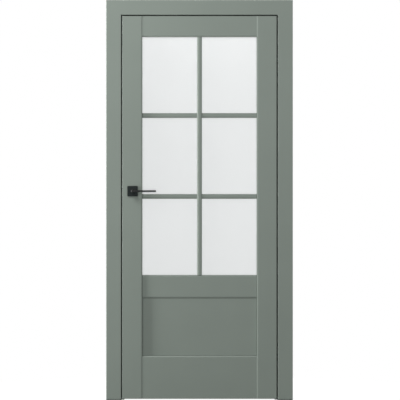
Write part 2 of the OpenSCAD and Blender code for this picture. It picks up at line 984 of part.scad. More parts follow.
lock_jamb();
hinge_jamb();
head_jamb();
frame_screws();
lock_seal();
hinge_seal();
head_seal();
front_lock_casing();
front_hinge_casing();
front_head_casing();
back_lock_casing();
back_hinge_casing();
back_head_casing();
strike_plate();
strike_screws();
lock_stile();
hinge_stile();
top_rail();
mid_rail();
bottom_rail();
rail_dowels();
lower_panel();
pane();
glazing_gasket();
upright_bar(-1);  // front_upright_bar
cross_bar(-1, 1);  // front_cross_bar_1
cross_bar(-1, 2);  // front_cross_bar_2
cross_bar(-1, 3);  // front_cross_bar_3
cross_bar(-1, 4);  // front_cross_bar_4
upright_bar(1);  // back_upright_bar
cross_bar(1, 1);  // back_cross_bar_1
cross_bar(1, 2);  // back_cross_bar_2
cross_bar(1, 3);  // back_cross_bar_3
cross_bar(1, 4);  // back_cross_bar_4
latch_case();
latch_faceplate();
faceplate_screws();
latch_bolt();
latch_spring();
latch_follower();
front_rose();
back_rose();
rose_bolts();
front_lever();
back_lever();
spindle();
grub_screws();
hinge_frame_case(0);  // upper_hinge_frame_case
hinge_frame_case(1);  // lower_hinge_frame_case
hinge_leaf_case(0);  // upper_hinge_leaf_case
hinge_leaf_case(1);  // lower_hinge_leaf_case
hinge_frame_arm(0);  // upper_hinge_frame_arm
hinge_frame_arm(1);  // lower_hinge_frame_arm
hinge_leaf_arm(0);  // upper_hinge_leaf_arm
hinge_leaf_arm(1);  // lower_hinge_leaf_arm
hinge_frame_pins();
hinge_leaf_pins();
hinge_centre_pins();
hinge_frame_screws();
hinge_leaf_screws();
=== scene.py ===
"""Looks of a hinged interior door with a glazed upper half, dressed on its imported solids."""

import logging
import math
from dataclasses import dataclass, field
from enum import Enum
from typing import Any

import bmesh
import bpy
from mathutils import Matrix, Vector


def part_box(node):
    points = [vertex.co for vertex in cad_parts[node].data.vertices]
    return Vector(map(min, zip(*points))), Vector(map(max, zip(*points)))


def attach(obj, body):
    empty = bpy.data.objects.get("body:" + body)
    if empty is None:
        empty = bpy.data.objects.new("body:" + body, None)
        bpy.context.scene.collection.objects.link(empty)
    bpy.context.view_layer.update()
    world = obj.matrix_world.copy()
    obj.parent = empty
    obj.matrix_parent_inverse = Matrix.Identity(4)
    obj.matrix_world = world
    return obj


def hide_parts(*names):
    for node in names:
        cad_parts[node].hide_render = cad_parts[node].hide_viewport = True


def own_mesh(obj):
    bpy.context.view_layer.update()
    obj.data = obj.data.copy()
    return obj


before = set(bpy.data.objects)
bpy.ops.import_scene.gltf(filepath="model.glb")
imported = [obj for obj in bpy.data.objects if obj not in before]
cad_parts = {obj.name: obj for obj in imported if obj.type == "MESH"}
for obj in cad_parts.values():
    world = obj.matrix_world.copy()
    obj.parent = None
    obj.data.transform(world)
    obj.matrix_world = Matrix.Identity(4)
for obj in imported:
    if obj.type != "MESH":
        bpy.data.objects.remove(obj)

LOG = logging.getLogger("door")
MM = 0.001
SAME_POINT = 1e-7
SHARP = math.radians(32)
UP = Vector((0.0, 0.0, 1.0))
WHITE = "#FFFFFF"
# Decimals of a metre that tell two rows of screws apart.
ROW_DECIMALS = 4


class Facing(Enum):
    """The way a screw's head looks; an outer one looks away from the door's middle."""

    LOCK_SIDE = (-1.0, 0.0, 0.0)
    HINGE_SIDE = (1.0, 0.0, 0.0)
    FLOOR = (0.0, 0.0, -1.0)
    OUTER = (0.0, 0.0, 0.0)

    def seen_from(self, middle: Vector) -> Vector:
        """Gives the way as a vector.

        Args:
            middle: the screw's middle.

        Returns:
            A vector of length one.
        """
        if self is Facing.OUTER:
            return Vector((math.copysign(1.0, middle.x), 0.0, 0.0))
        return Vector(self.value)


def linear(hex_code: str) -> tuple[float, float, float, float]:
    """Turns an sRGB hex colour into linear light.

    Args:
        hex_code: six hex digits after a hash.

    Returns:
        Red, green, blue and an alpha of one.
    """
    channels = [int(hex_code[i : i + 2], 16) / 255 for i in (1, 3, 5)]
    lit = [c / 12.92 if c <= 0.04045 else ((c + 0.055) / 1.055) ** 2.4 for c in channels]
    return (lit[0], lit[1], lit[2], 1.0)


def per_mm(size: float) -> float:
    """Gives a pattern's scale in object coordinates from its size in millimetres."""
    return 1.0 / (size * MM)


def add(
    tree: bpy.types.NodeTree,
    kind: str,
    settings: dict[str, Any] | None = None,
    sockets: dict[Any, Any] | None = None,
    links: dict[Any, bpy.types.NodeSocket] | None = None,
    stops: dict[float, str] | None = None,
) -> bpy.types.Node:
    """Adds a node with its settings and links.

    Args:
        tree: the node tree that gets the node.
        kind: the node's type.
        settings: the node's own properties.
        sockets: values for its inputs.
        links: outputs of other nodes for its inputs.
        stops: hex colours by their places on its colour ramp, two of them.

    Returns:
        The new node.
    """
    node = tree.nodes.new(kind)
    for name, value in (settings or {}).items():
        setattr(node, name, value)
    for name, value in (sockets or {}).items():
        node.inputs[name].default_value = value
    for name, source in (links or {}).items():
        tree.links.new(source, node.inputs[name])
    for count, (place, colour) in enumerate((stops or {}).items()):
        node.color_ramp.elements[count].position = place
        node.color_ramp.elements[count].color = linear(colour)
    return node


def background_rays(tree: bpy.types.NodeTree) -> bpy.types.NodeSocket:
    """Tells the rays that see the background, straight on, in metal or through glass, from those that light.

    Args:
        tree: the node tree that asks.

    Returns:
        An output that is one for a ray that sees the background.
    """
    path = add(tree, "ShaderNodeLightPath").outputs
    joined = path["Is Camera Ray"]
    for kind in ("Is Glossy Ray", "Is Transmission Ray"):
        either = add(
            tree,
            "ShaderNodeMath",
            settings={"operation": "MAXIMUM"},
            links={0: joined, 1: path[kind]},
        )
        joined = either.outputs[0]
    return joined


@dataclass(frozen=True, kw_only=True)
class Finish:
    """A two-tone surface finish that is made once and shared by its pieces."""

    name: str
    light: str
    dark: str
    dark_until: float = 0.3
    light_from: float = 0.7

    def stops(self) -> dict[float, str]:
        """Gives both tones by their places on a colour ramp."""
        return {self.dark_until: self.dark, self.light_from: self.light}

    def material(self) -> bpy.types.Material:
        """Makes the finish's material, or returns the one already made."""
        return bpy.data.materials.get(self.name) or self.make()

    def make(self) -> bpy.types.Material:
        """Makes the material.

        Returns:
            A material that shows the finish's surface.
        """
        material = bpy.data.materials.new(self.name)
        material.use_nodes = True
        tree = material.node_tree
        tree.nodes.clear()
        add(tree, "ShaderNodeOutputMaterial", links={"Surface": self.surface(tree).outputs[0]})
        return material

    def surface(self, tree: bpy.types.NodeTree) -> bpy.types.Node:
        """Makes the shader; each finish has its own."""
        raise NotImplementedError


@dataclass(frozen=True, kw_only=True)
class SprayedPaint(Finish):
    """Matt spray paint on fibreboard, with painted shade that darkens its inner corners.

    The painted shade on edges reaches less far than the gaps round the leaf are wide, so that an edge is as
    light as the rest once the door stands open. A face may take the painted shade from further off.
    """

    cloud_mm: float = 260.0
    cloud_layers: float = 2.0
    peel_mm: float = 5.0
    peel_layers: float = 3.0
    peel_strength: float = 0.35
    peel_depth_mm: float = 0.035
    edge_reach_mm: float = 3.8
    face_reach_mm: float = 3.8
    edge_until: float = 0.4
    face_from: float = 0.7
    corner_until: float = 0.4
    open_from: float = 0.95
    corner_shade: float = 0.1
    roughness: float = 0.5
    gloss_span: float = 0.05
    specular: float = 0.35

    def painted_corner_shade(
        self, tree: bpy.types.NodeTree, normal: bpy.types.NodeSocket
    ) -> bpy.types.NodeSocket:
        """Paints shade into inner corners: the paint is darker where the surround is closed.

        Args:
            tree: the material's node tree.
            normal: the way the surface looks.

        Returns:
            A share of the paint's lightness that paints the corner shade; it is one on an open surface.
        """
        turned = add(tree, "ShaderNodeVectorMath", settings={"operation": "ABSOLUTE"}, links={0: normal})
        facing = add(tree, "ShaderNodeSeparateXYZ", links={0: turned.outputs["Vector"]})
        reach = add(
            tree,
            "ShaderNodeMapRange",
            sockets={
                "From Min": self.edge_until,
                "From Max": self.face_from,
                "To Min": self.edge_reach_mm * MM,
                "To Max": self.face_reach_mm * MM,
            },
            links={"Value": facing.outputs["Y"]},
        )
        openness = add(tree, "ShaderNodeAmbientOcclusion", links={"Distance": reach.outputs["Result"]})
        share = add(
            tree,
            "ShaderNodeMapRange",
            sockets={
                "From Min": self.corner_until,
                "From Max": self.open_from,
                "To Min": self.corner_shade,
                "To Max": 1.0,
            },
            links={"Value": openness.outputs["AO"]},
        )
        return share.outputs["Result"]

    def surface(self, tree: bpy.types.NodeTree) -> bpy.types.Node:
        """Makes the paint: an even coat with a faint cloud and the soft ripple of a spray gun, and painted
        shade in its inner corners.

        Args:
            tree: the material's node tree.

        Returns:
            The shader.
        """
        spot = add(tree, "ShaderNodeTexCoord").outputs
        cloud = add(
            tree,
            "ShaderNodeTexNoise",
            sockets={"Scale": per_mm(self.cloud_mm), "Detail": self.cloud_layers},
            links={"Vector": spot["Object"]},
        )
        tone = add(tree, "ShaderNodeValToRGB", links={"Fac": cloud.outputs["Fac"]}, stops=self.stops())
        # Painted shade: the paint's colour is multiplied down in inner corners and near steps, where shade
        # falls.
        coat_with_painted_shade = add(
            tree,
            "ShaderNodeVectorMath",
            settings={"operation": "SCALE"},
            links={0: tone.outputs["Color"], "Scale": self.painted_corner_shade(tree, spot["Normal"])},
        )
        # The real ripple is about 1 mm across; it is drawn coarser so that it shows.
        peel = add(
            tree,
            "ShaderNodeTexNoise",
            sockets={"Scale": per_mm(self.peel_mm), "Detail": self.peel_layers},
            links={"Vector": spot["Object"]},
        )
        bump = add(
            tree,
            "ShaderNodeBump",
            sockets={"Strength": self.peel_strength, "Distance": self.peel_depth_mm * MM},
            links={"Height": peel.outputs["Fac"]},
        )
        gloss = add(
            tree,
            "ShaderNodeMapRange",
            sockets={"To Min": self.roughness - self.gloss_span, "To Max": self.roughness + self.gloss_span},
            links={"Value": peel.outputs["Fac"]},
        )
        return add(
            tree,
            "ShaderNodeBsdfPrincipled",
            sockets={"Specular IOR Level": self.specular},
            links={
                "Base Color": coat_with_painted_shade.outputs["Vector"],
                "Roughness": gloss.outputs["Result"],
                "Normal": bump.outputs["Normal"],
            },
        )


@dataclass(frozen=True, kw_only=True)
class EtchedGlass(Finish):
    """White acid-etched glass."""

    cloud_mm: float = 420.0
    cloud_layers: float = 1.0
    grain_mm: float = 1.6
    grain_layers: float = 2.0
    grain_strength: float = 0.2
    grain_depth_mm: float = 0.02
    roughness: float = 0.3
    ior: float = 1.5
    transmission: float = 0.92

    def surface(self, tree: bpy.types.NodeTree) -> bpy.types.Node:
        """Makes the glass: milky and even, with a silky etched skin and light from behind.

        Args:
            tree: the material's node tree.

        Returns:
            The shader.
        """
        place = add(tree, "ShaderNodeTexCoord").outputs["Object"]
        cloud = add(
            tree,
            "ShaderNodeTexNoise",
            sockets={"Scale": per_mm(self.cloud_mm), "Detail": self.cloud_layers},
            links={"Vector": place},
        )
        tone = add(tree, "ShaderNodeValToRGB", links={"Fac": cloud.outputs["Fac"]}, stops=self.stops())
        # The etching is finer than a hair; it is drawn coarser so that it shows.
        grain = add(
            tree,
            "ShaderNodeTexNoise",
            sockets={"Scale": per_mm(self.grain_mm), "Detail": self.grain_layers},
            links={"Vector": place},
        )
        bump = add(
            tree,
            "ShaderNodeBump",
            sockets={"Strength": self.grain_strength, "Distance": self.grain_depth_mm * MM},
            links={"Height": grain.outputs["Fac"]},
        )
        return add(
            tree,
            "ShaderNodeBsdfPrincipled",
            sockets={
                "Roughness": self.roughness,
                "IOR": self.ior,
                "Transmission Weight": self.transmission,
            },
            links={"Base Color": tone.outputs["Color"], "Normal": bump.outputs["Normal"]},
        )


@dataclass(frozen=True, kw_only=True)
class CoatedMetal(Finish):
    """A dark coat on die-cast or pressed metal."""

    roughness: float
    specular: float
    dark_until: float = 0.35
    light_from: float = 0.65
    metallic: float = 0.0
    grain_mm: float = 0.9
    grain_layers: float = 3.0
    grain_strength: float = 0.3
    grain_depth_mm: float = 0.02
    gloss_span: float = 0.06

    def surface(self, tree: bpy.types.NodeTree) -> bpy.types.Node:
        """Makes the coat: dark, dry and faintly grainy, with a soft highlight along its edges.

        Args:
            tree: the material's node tree.

        Returns:
            The shader.
        """
        place = add(tree, "ShaderNodeTexCoord").outputs["Object"]
        # The coat's grain is about 0.2 mm; it is drawn coarser so that it shows.
        grain = add(
            tree,
            "ShaderNodeTexNoise",
            sockets={"Scale": per_mm(self.grain_mm), "Detail": self.grain_layers},
            links={"Vector": place},
        )
        tone = add(tree, "ShaderNodeValToRGB", links={"Fac": grain.outputs["Fac"]}, stops=self.stops())
        bump = add(
            tree,
            "ShaderNodeBump",
            sockets={"Strength": self.grain_strength, "Distance": self.grain_depth_mm * MM},
            links={"Height": grain.outputs["Fac"]},
        )
        gloss = add(
            tree,
            "ShaderNodeMapRange",
            sockets={"To Min": self.roughness - self.gloss_span, "To Max": self.roughness + self.gloss_span},
            links={"Value": grain.outputs["Fac"]},
        )
        return add(
            tree,
            "ShaderNodeBsdfPrincipled",
            sockets={"Metallic": self.metallic, "Specular IOR Level": self.specular},
            links={
                "Base Color": tone.outputs["Color"],
                "Roughness": gloss.outputs["Result"],
                "Normal": bump.outputs["Normal"],
            },
        )


@dataclass(frozen=True, kw_only=True)
class Streaked(Finish):
    """A finish with streaks along X."""

    streak_mm: float
    run_mm: float
    layers: float

    def streaks(self, tree: bpy.types.NodeTree) -> bpy.types.NodeSocket:
        """Lays the streaks.

        Args:
            tree: the material's node tree.

        Returns:
            The pattern, from 0 to 1.
        """
        across = per_mm(self.streak_mm)
        drawn = add(
            tree,
            "ShaderNodeMapping",
            sockets={"Scale": (per_mm(self.run_mm), across, across)},
            links={"Vector": add(tree, "ShaderNodeTexCoord").outputs["Object"]},
        )
        streak = add(
            tree,
            "ShaderNodeTexNoise",
            sockets={"Scale": 1.0, "Detail": self.layers},
            links={"Vector": drawn.outputs["Vector"]},
        )
        return streak.outputs["Fac"]


@dataclass(frozen=True, kw_only=True)
class DrawnSteel(Streaked):
    """Zinc-plated steel, drawn or rolled."""

    dark_until: float = 0.35
    light_from: float = 0.65
    streak_mm: float = 0.5
    run_mm: float = 12.0
    layers: float = 2.0
    smoothest: float = 0.24
    roughest: float = 0.42

    def surface(self, tree: bpy.types.NodeTree) -> bpy.types.Node:
        """Makes the steel: pale grey with fine streaks along the way it was drawn.

        Args:
            tree: the material's node tree.

        Returns:
            The shader.
        """
        # The real streaks are about 0.1 mm wide; they are drawn coarser so that they show.
        streak = self.streaks(tree)
        tone = add(tree, "ShaderNodeValToRGB", links={"Fac": streak}, stops=self.stops())
        gloss = add(
            tree,
            "ShaderNodeMapRange",
            sockets={"To Min": self.smoothest, "To Max": self.roughest},
            links={"Value": streak},
        )
        return add(
            tree,
            "ShaderNodeBsdfPrincipled",
            sockets={"Metallic": 1.0},
            links={"Base Color": tone.outputs["Color"], "Roughness": gloss.outputs["Result"]},
        )


@dataclass(frozen=True, kw_only=True)
class TurnedBeech(Streaked):
    """Bare beech dowel."""

    streak_mm: float = 1.2
    run_mm: float = 30.0
    layers: float = 4.0
    roughness: float = 0.7

    def surface(self, tree: bpy.types.NodeTree) -> bpy.types.Node:
        """Makes the beech: warm and pale, with short flecks along the dowel.

        Args:
            tree: the material's node tree.

        Returns:
            The shader.
        """
        tone = add(tree, "ShaderNodeValToRGB", links={"Fac": self.streaks(tree)}, stops=self.stops())
        return add(
            tree,
            "ShaderNodeBsdfPrincipled",
            sockets={"Roughness": self.roughness},
            links={"Base Color": tone.outputs["Color"]},
        )


@dataclass(frozen=True, kw_only=True)
class SealRubber(Finish):
    """Extruded weatherstrip rubber."""

    bloom_mm: float = 18.0
    bloom_layers: float = 4.0
    roughness: float = 0.82
    specular: float = 0.3

    def surface(self, tree: bpy.types.NodeTree) -> bpy.types.Node:
        """Makes the rubber: dull and dark, with a faint chalky bloom.

        Args:
            tree: the material's node tree.

        Returns:
            The shader.
        """
        bloom = add(
            tree,
            "ShaderNodeTexNoise",
            sockets={"Scale": per_mm(self.bloom_mm), "Detail": self.bloom_layers},
            links={"Vector": add(tree, "ShaderNodeTexCoord").outputs["Object"]},
        )
        tone = add(tree, "ShaderNodeValToRGB", links={"Fac": bloom.outputs["Fac"]}, stops=self.stops())
        return add(
            tree,
            "ShaderNodeBsdfPrincipled",
            sockets={"Roughness": self.roughness, "Specular IOR Level": self.specular},
            links={"Base Color": tone.outputs["Color"]},
        )


@dataclass(frozen=True, kw_only=True)
class StudioFloor(Finish):
    """A matt floor with a glow that only the eye, metal and glass see."""

    dark_until: float = 0.0
    light_from: float = 1.0
    glow_share: float = 0.88
    glow_strength: float = 1.06

    def surface(self, tree: bpy.types.NodeTree) -> bpy.types.Node:
        """Makes the floor: white, with the door's shadow on it, and too dark to light the door from below.

        Args:
            tree: the material's node tree.

        Returns:
            The shader.
        """
        seen = background_rays(tree)
        tone = add(tree, "ShaderNodeValToRGB", links={"Fac": seen}, stops=self.stops())
        matt = add(tree, "ShaderNodeBsdfDiffuse", links={"Color": tone.outputs["Color"]})
        glow = add(
            tree,
            "ShaderNodeEmission",
            sockets={"Color": linear(WHITE), "Strength": self.glow_strength},
        )
        share = add(
            tree,
            "ShaderNodeMath",
            settings={"operation": "MULTIPLY"},
            sockets={1: self.glow_share},
            links={0: seen},
        )
        return add(
            tree,
            "ShaderNodeMixShader",
            links={0: share.outputs[0], 1: matt.outputs[0], 2: glow.outputs[0]},
        )


# Sage spray paint on fibreboard: a flat grey-green with soft highlights and no grain of wood. Its inner
# corners are darkened with painted shade.
SAGE_PAINT = SprayedPaint(name="sage_spray_paint", light="#8D978F", dark="#8A948C")
# The same paint on the casings, whose faces also darken softly near a step: a painted shade that reaches
# further and darkens the gap round the leaf.
CASING_PAINT = SprayedPaint(
    name="sage_spray_paint_on_casings", light="#8D978F", dark="#8A948C", face_reach_mm=14.0
)
# Acid-etched white glass: a milky pane that lets light through and blurs what stands behind it.
WHITE_GLASS = EtchedGlass(name="white_etched_glass", light="#E8EAEA", dark="#E6E8E8")
# Powder coat on die-cast zinc: a dry charcoal black with hardly any shine.
BLACK_COAT = CoatedMetal(
    name="black_powder_coat", light="#323737", dark="#2C3131", roughness=0.48, specular=0.05
)
# Satin lacquer: a deeper, smoother black with a clean narrow highlight along the lever.
SATIN_BLACK = CoatedMetal(
    name="satin_black_lacquer",
    light="#0E1011",
    dark="#0A0C0D",
    roughness=0.28,
    specular=0.3,
    grain_depth_mm=0.003,
    gloss_span=0.02,
)
# Blackened steel: dark grey metal with a dull gleam.
DARK_STEEL = CoatedMetal(
    name="blackened_steel",
    light="#46494A",
    dark="#3A3D3E",
    roughness=0.34,
    specular=0.22,
    metallic=0.85,
)
# Zinc-plated steel: pale, cool metal with fine streaks.
BRIGHT_STEEL = DrawnSteel(name="zinc_plated_steel", light="#C3C6C8", dark="#AEB1B3")
# Seal rubber: a dull black that swallows the light in the gap.
BLACK_RUBBER = SealRubber(name="black_seal_rubber", light="#1D1F1E", dark="#161817")
# Bare beech: warm, pale wood with short flecks.
BEECH = TurnedBeech(name="bare_beech", light="#CDAA78", dark="#BC9764")
# Matt board: a white ground that takes a soft shadow.
PALE_FLOOR = StudioFloor(name="pale_floor", light="#F0F0EE", dark="#70706E")


def dress(names: list[str], finish: Finish) -> None:
    """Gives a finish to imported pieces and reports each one.

    Args:
        names: the pieces' names.
        finish: what they are covered with.
    """
    material = finish.material()
    for name in names:
        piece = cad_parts[name]
        piece.data.materials.clear()
        piece.data.materials.append(material)
        LOG.info("%s: %s", name, finish.name)


def solid_boxes(name: str) -> list[tuple[Vector, Vector]]:
    """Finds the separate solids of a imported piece.

    Args:
        name: the piece's name.

    Returns:
        The lowest and highest corner of each solid, from the door's foot up.
    """
    form = bmesh.new()
    form.from_mesh(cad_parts[name].data)
    bmesh.ops.remove_doubles(form, verts=form.verts, dist=SAME_POINT)
    boxes = []
    left = set(form.verts)
    while left:
        reached = [left.pop()]
        points = []
        while reached:
            corner = reached.pop()
            points.append(corner.co.copy())
            near = {edge.other_vert(corner) for edge in corner.link_edges} & left
            left -= near
            reached.extend(near)
        low, high = (Vector(pick(p[i] for p in points) for i in range(3)) for pick in (min, max))
        boxes.append((low, high))
    form.free()
    return sorted(boxes, key=lambda box: (round(box[0].z, ROW_DECIMALS), box[0].x, box[0].y))


def new_points(result: dict[str, Any]) -> list[bmesh.types.BMVert]:
    """Picks the vertices out of what an operator made."""
    return [item for item in result["geom"] if isinstance(item, bmesh.types.BMVert)]


def open_rim(form: bmesh.types.BMesh) -> list[bmesh.types.BMEdge]:
    """Finds the edges that only one face has."""
    return [edge for edge in form.edges if edge.is_boundary]


def draw_down(form: bmesh.types.BMesh, radius: float, section: list[tuple[float, float]]) -> None:
    """Draws a round face's rim down through a list of rings and closes the last one.

    Args:
        form: the face, at height 0 and open at its rim.
        radius: the rim's radius.
        section: each ring's radius and its depth below the face.
    """
    depth = 0.0
    for next_radius, next_depth in section:
        ring = new_points(bmesh.ops.extrude_edge_only(form, edges=open_rim(form)))
        share = next_radius / radius
        bmesh.ops.scale(form, vec=(share, share, 1.0), verts=ring)
        bmesh.ops.translate(form, vec=(0.0, 0.0, depth - next_depth), verts=ring)
        radius, depth = next_radius, next_depth
    bmesh.ops.holes_fill(form, edges=open_rim(form), sides=0)


def stand_in(
    form: bmesh.types.BMesh, node: str, body: str, finish: Finish
) -> bpy.types.Object:
    """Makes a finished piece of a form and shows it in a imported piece's place.

    Args:
        form: the shape, which is freed.
        node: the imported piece's name.
        body: the body that carries it.
        finish: what it is covered with.

    Returns:
        The new piece.
    """
    mesh = bpy.data.meshes.new(f"fine_{node}")
    form.to_mesh(mesh)
    form.free()
    mesh.shade_smooth()
    mesh.set_sharp_from_angle(angle=SHARP)
    mesh.materials.append(finish.material())
    piece = bpy.data.objects.new(mesh.name, mesh)
    bpy.context.scene.collection.objects.link(piece)
    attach(piece, body)
    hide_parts(node)
    return piece


@dataclass
class Screws:
    """A set of like screws, modelled in place of the plain ones."""

    node: str
    body: str
    slot: str
    facing: Facing
    finish: Finish
    sides: int = 32
    rim_share: float = 0.1
    turn_step: float = 0.7

    def shape(self, form: bmesh.types.BMesh, head: float, length: float) -> None:
        """Shapes one screw; each kind has its own.

        Args:
            form: an empty form; the head's face goes at its origin, looking up.
            head: the head's radius.
            length: the screw's length.
        """
        raise NotImplementedError

    def model(self, head: float, length: float) -> bpy.types.Mesh:
        """Models one screw that points down, with its head's face at the origin.

        Args:
            head: the head's radius.
            length: the screw's length.

        Returns:
            The screw's mesh.
        """
        form = bmesh.new()
        self.shape(form, head, length)
        bmesh.ops.recalc_face_normals(form, faces=form.faces)
        mesh = bpy.data.meshes.new("screw")
        form.to_mesh(mesh)
        form.free()
        return mesh

    def build(self) -> None:
        """Sets a detailed screw in each plain one's place."""
        form = bmesh.new()
        boxes = solid_boxes(self.node)
        for count, (low, high) in enumerate(boxes):
            middle, size = (low + high) / 2, high - low
            way = self.facing.seen_from(middle)
            length = abs(size.dot(way))
            across = max(side for side, along in zip(size, way) if not along)
            aim = UP.rotation_difference(way).to_matrix().to_4x4()
            turn = Matrix.Rotation(count * self.turn_step, 4, "Z")
            screw = self.model(across / 2, length)
            screw.transform(Matrix.Translation(middle + way * length / 2) @ aim @ turn)
            form.from_mesh(screw)
            bpy.data.meshes.remove(screw)
        piece = stand_in(form, self.node, self.body, self.finish)
        LOG.info("%s: %d screws, %s", piece.name, len(boxes), self.finish.name)


@dataclass
class CrossScrews(Screws):
    """Countersunk wood screws with a cross recess and a wound thread."""

    shank_share: float = 0.5
    core_share: float = 0.36
    root_share: float = 0.9
    point_share: float = 0.07
    plain_share: float = 0.34
    tip_share: float = 0.14
    pitch_mm: float = 1.7
    recess_length_mm: float = 4.8
    recess_width_mm: float = 1.3
    recess_depth_mm: float = 2.0
    recess_taper: float = 0.72
    thread_sides: int = 16

    def cut_recess(self, form: bmesh.types.BMesh) -> None:
        """Sinks the driver's cross into the head's face.

        Args:
            form: the round face, at height 0.
        """
        length = self.recess_length_mm * MM / 2
        width = self.recess_width_mm * MM / 2
        for way in (Vector((1.0, 0.0, 0.0)), Vector((0.0, 1.0, 0.0))):
            for reach in (-length, -width, width, length):
                bmesh.ops.bisect_plane(
                    form,
                    geom=form.verts[:] + form.edges[:] + form.faces[:],
                    dist=SAME_POINT,
                    plane_co=way * reach,
                    plane_no=way,
                )
        cross = []
        for face in form.faces:
            centre = face.calc_center_median()
            short, long = sorted((abs(centre.x), abs(centre.y)))
            if short < width and long < length:
                cross.append(face)
        floor = new_points(bmesh.ops.extrude_face_region(form, geom=cross))
        bmesh.ops.delete(form, geom=cross, context="FACES")
        bmesh.ops.scale(form, vec=(self.recess_taper, self.recess_taper, 1.0), verts=floor)
        bmesh.ops.translate(form, vec=(0.0, 0.0, -self.recess_depth_mm * MM), verts=floor)

    def wind_thread(self, form: bmesh.types.BMesh, head: float, length: float) -> None:
        """Winds a sharp ridge, half a pitch wide, round the core.

        Args:
            form: the screw so far.
            head: the head's radius.
            length: the screw's length.
        """
        pitch = self.pitch_mm * MM
        root = self.core_share * head * self.root_share
        crest = self.shank_share * head
        top = -self.plain_share * length - pitch
        turns = int((1 - self.plain_share - self.tip_share) * length / pitch)
        section = [(root, 0.0), (crest, -pitch / 4), (root, -pitch / 2)]
        corners = [form.verts.new((radius, 0.0, top + drop)) for radius, drop in section]
        start = form.faces.new(corners)
        bmesh.ops.spin(
            form,
            geom=corners + start.edges[:] + [start],
            cent=(0.0, 0.0, 0.0),
            axis=UP,
            dvec=(0.0, 0.0, -pitch / self.thread_sides),
            angle=turns * math.tau,
            steps=turns * self.thread_sides,
        )

    def shape(self, form: bmesh.types.BMesh, head: float, length: float) -> None:
        """Shapes the head, the countersink, the plain shank, the core with its thread and the tip.

        Args:
            form: an empty form; the head's face goes at its origin, looking up.
            head: the head's radius.
            length: the screw's length.
        """
        shank, core = self.shank_share * head, self.core_share * head
        plain, rim = self.plain_share * length, self.rim_share * head
        bmesh.ops.create_circle(form, cap_ends=True, segments=self.sides, radius=head - rim)
        self.cut_recess(form)
        section = [
            (head - rim / 2, rim / 2),
            (shank, head - shank),
            (shank, plain),
            (core, plain + shank - core),
            (core, (1 - self.tip_share) * length),
            (self.point_share * head, length),
        ]
        draw_down(form, head - rim, section)
        self.wind_thread(form, head, length)


@dataclass
class SocketScrews(Screws):
    """Headless set screws with a hexagon socket."""

    socket_sides: int = 6
    socket_share: float = 0.58
    socket_depth_mm: float = 1.8
    cup_share: float = 0.55

    def shape(self, form: bmesh.types.BMesh, head: float, length: float) -> None:
        """Shapes the socket, the round face, the shank and its cupped end.

        Args:
            form: an empty form; the face goes at its origin, looking up.
            head: the screw's radius.
            length: the screw's length.
        """
        rim, cup = self.rim_share * head, self.cup_share * head
        depth = self.socket_depth_mm * MM
        floor = bmesh.ops.create_circle(
            form, cap_ends=True, segments=self.socket_sides, radius=self.socket_share * head
        )
        bmesh.ops.translate(form, vec=(0.0, 0.0, -depth), verts=floor["verts"])
        mouth = new_points(bmesh.ops.extrude_edge_only(form, edges=open_rim(form)))
        bmesh.ops.translate(form, vec=(0.0, 0.0, depth), verts=mouth)
        bmesh.ops.create_circle(form, cap_ends=False, segments=self.sides, radius=head - rim)
        loops = open_rim(form) + [edge for edge in form.edges if edge.is_wire]
        bmesh.ops.bridge_loops(form, edges=loops)
        draw_down(form, head - rim, [(head, rim), (head, length - head + cup), (cup, length)])


@dataclass
class CoilSpring:
    """A wound spring along X that a sliding piece presses against its far end."""

    node: str
    body: str
    slot: str
    finish: Finish
    joint: str
    wire_mm: float = 1.2
    turns: int = 6
    wire_sides: int = 12
    turn_sides: int = 32

    def wind(self, low: Vector, high: Vector) -> bmesh.types.BMesh:
        """Winds the wire from one end of a box to the other.

        Args:
            low: the box's lowest corner.
            high: the box's highest corner.

        Returns:
            The spring's shape.
        """
        middle, size = (low + high) / 2, high - low
        wire = self.wire_mm * MM / 2
        steps = self.turns * self.turn_sides
        start = Vector((low.x + wire, high.y - wire, middle.z))
        form = bmesh.new()
        bmesh.ops.create_circle(
            form,
            cap_ends=True,
            segments=self.wire_sides,
            radius=wire,
            matrix=Matrix.Translation(start),
        )
        bmesh.ops.spin(
            form,
            geom=form.verts[:] + form.edges[:] + form.faces[:],
            cent=middle,
            axis=(1.0, 0.0, 0.0),
            dvec=((size.x - 2 * wire) / steps, 0.0, 0.0),
            angle=self.turns * math.tau,
            steps=steps,
        )
        bmesh.ops.recalc_face_normals(form, faces=form.faces)
        return form

    def build(self) -> None:
        """Winds the spring in the plain one's place and gives it a mesh of its own."""
        low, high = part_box(self.node)
        piece = stand_in(self.wind(low, high), self.node, self.body, self.finish)
        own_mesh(piece)
        LOG.info("%s: %d turns, %s", piece.name, self.turns, self.finish.name)


@dataclass
class DoorFrame:
    """Jambs, head, casings and seals round the leaf."""

    jambs: list[str] = field(default_factory=lambda: ["lock_jamb", "hinge_jamb", "head_jamb"])
    casings: list[str] = field(
        default_factory=lambda: [
            f"{face}_{side}_casing" for face in ("front", "back") for side in ("lock", "hinge", "head")
        ]
    )
    seals: list[str] = field(default_factory=lambda: ["lock_seal", "hinge_seal", "head_seal"])
    fixings: CrossScrews = field(
        default_factory=lambda: CrossScrews(
            "frame_screws",
            "frame",
            "plain_steel",
            Facing.OUTER,
            BRIGHT_STEEL,
            shank_share=0.92,
            core_share=0.7,
            plain_share=0.2,
            tip_share=0.08,
            pitch_mm=3.0,
            recess_length_mm=3.4,
            recess_width_mm=1.0,
        )
    )

    def dress(self) -> None:
        """Paints the boards, dresses the seals and sets the corner screws."""
        dress(self.jambs, SAGE_PAINT)
        dress(self.casings, CASING_PAINT)
        dress(self.seals, BLACK_RUBBER)
        self.fixings.build()


@dataclass
class Leaf:
    """Stiles, rails, lower panel and the dowels that join them."""

    boards: list[str] = field(
        default_factory=lambda: [
            "lock_stile",
            "hinge_stile",
            "top_rail",
            "mid_rail",
            "bottom_rail",
            "lower_panel",
        ]
    )
    dowels: list[str] = field(default_factory=lambda: ["rail_dowels"])

    def dress(self) -> None:
        """Paints the boards and leaves the dowels bare."""
        dress(self.boards, SAGE_PAINT)
        dress(self.dowels, BEECH)


